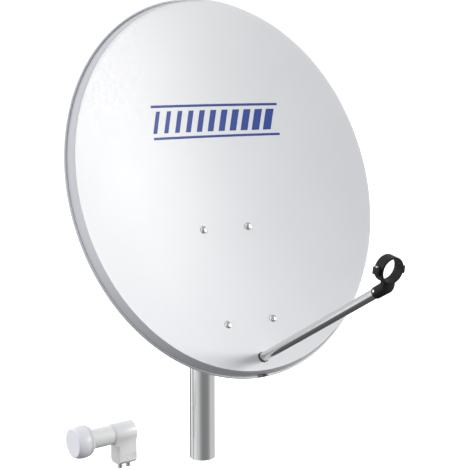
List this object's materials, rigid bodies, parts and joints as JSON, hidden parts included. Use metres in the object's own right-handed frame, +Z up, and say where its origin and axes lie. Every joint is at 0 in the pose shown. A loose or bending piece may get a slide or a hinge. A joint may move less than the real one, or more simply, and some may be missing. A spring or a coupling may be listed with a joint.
{
  "type": "satellite dish",
  "caption": "Offset satellite dish on a round mast: turning clamp, tilt bracket with slots, feed arm with open split collar, and a loose feed horn unit beside it.",
  "frame": {"origin": "on the mast's axis, at its cut lower end", "axes": "+Z up along the mast; the dish faces -Y; +X is to the right for someone who faces the dish and looks along +Y"},
  "size_m": [0.7008, 0.6634, 0.9687],
  "materials": {
    "painted_sheet": "light grey powder coat with a fine texture",
    "galvanised_tube": "hot-dip galvanised tube, satin",
    "galvanised_plate": "pressed galvanised plate, matt",
    "zinc_fastener": "bright zinc plate",
    "black_plastic": "moulded black plastic, slightly grained",
    "white_plastic": "white moulded cap, faintly lavender",
    "grey_plastic": "satin grey",
    "lnb_housing": "satin light grey",
    "nickel_connector": "nickel plate"
  },
  "bodies": {
    "mast": {"mast_tube": "galvanised_tube", "mast_cap": "black_plastic"},
    "azimuth_clamp": {"clamp_bracket": "galvanised_plate", "clamp_saddle_lower": "galvanised_plate", "clamp_saddle_upper": "galvanised_plate", "ubolt_lower": "zinc_fastener", "ubolt_upper": "zinc_fastener", "ubolt_nut_lower_left": "zinc_fastener", "ubolt_nut_lower_right": "zinc_fastener", "ubolt_nut_upper_left": "zinc_fastener", "ubolt_nut_upper_right": "zinc_fastener", "pivot_bolt_left": "zinc_fastener", "pivot_bolt_right": "zinc_fastener", "pivot_nut_left": "zinc_fastener", "pivot_nut_right": "zinc_fastener", "lock_bolt_left": "zinc_fastener", "lock_bolt_right": "zinc_fastener", "lock_nut_left": "zinc_fastener", "lock_nut_right": "zinc_fastener"},
    "dish": {"reflector": "painted_sheet", "dish_bracket": "galvanised_plate", "dish_bolt_upper_left": "zinc_fastener", "dish_bolt_upper_right": "zinc_fastener", "dish_bolt_lower_left": "zinc_fastener", "dish_bolt_lower_right": "zinc_fastener", "dish_nut_upper_left": "zinc_fastener", "dish_nut_upper_right": "zinc_fastener", "dish_nut_lower_left": "zinc_fastener", "dish_nut_lower_right": "zinc_fastener", "feed_arm": "galvanised_tube", "arm_spacer_left": "zinc_fastener", "arm_spacer_right": "zinc_fastener", "arm_bolt": "zinc_fastener", "arm_nut": "zinc_fastener", "arm_grommet": "black_plastic", "lnb_holder": "black_plastic", "arm_screw": "zinc_fastener"},
    "clamp_cap": {"lnb_clamp_cap": "black_plastic", "clamp_screw_left": "zinc_fastener", "clamp_screw_right": "zinc_fastener"},
    "lnb": {"lnb_housing": "lnb_housing", "lnb_neck": "grey_plastic", "lnb_collar": "lnb_housing", "lnb_cap": "white_plastic", "f_connector_front": "nickel_connector", "f_connector_rear": "nickel_connector"}
  },
  "joints": [
    {"name": "azimuth", "type": "hinge", "parent": "mast", "child": "azimuth_clamp", "pos_m": [0, 0, 0.419], "axis": [0, 0, 1], "continuous": true},
    {"name": "elevation", "type": "hinge", "parent": "azimuth_clamp", "child": "dish", "pos_m": [0, -0.094, 0.3835], "axis": [-1, 0, 0], "range_deg": [-25, 15]},
    {"name": "clamp_cap_lift", "type": "slide", "parent": "dish", "child": "clamp_cap", "axis": [0, -0.184, 0.9829], "range_m": [0, 0.03]},
    {"name": "lnb_lift", "type": "slide", "parent": "mast", "child": "lnb", "axis": [0, 0, 1], "range_m": [0, 0.08]}
  ]
}
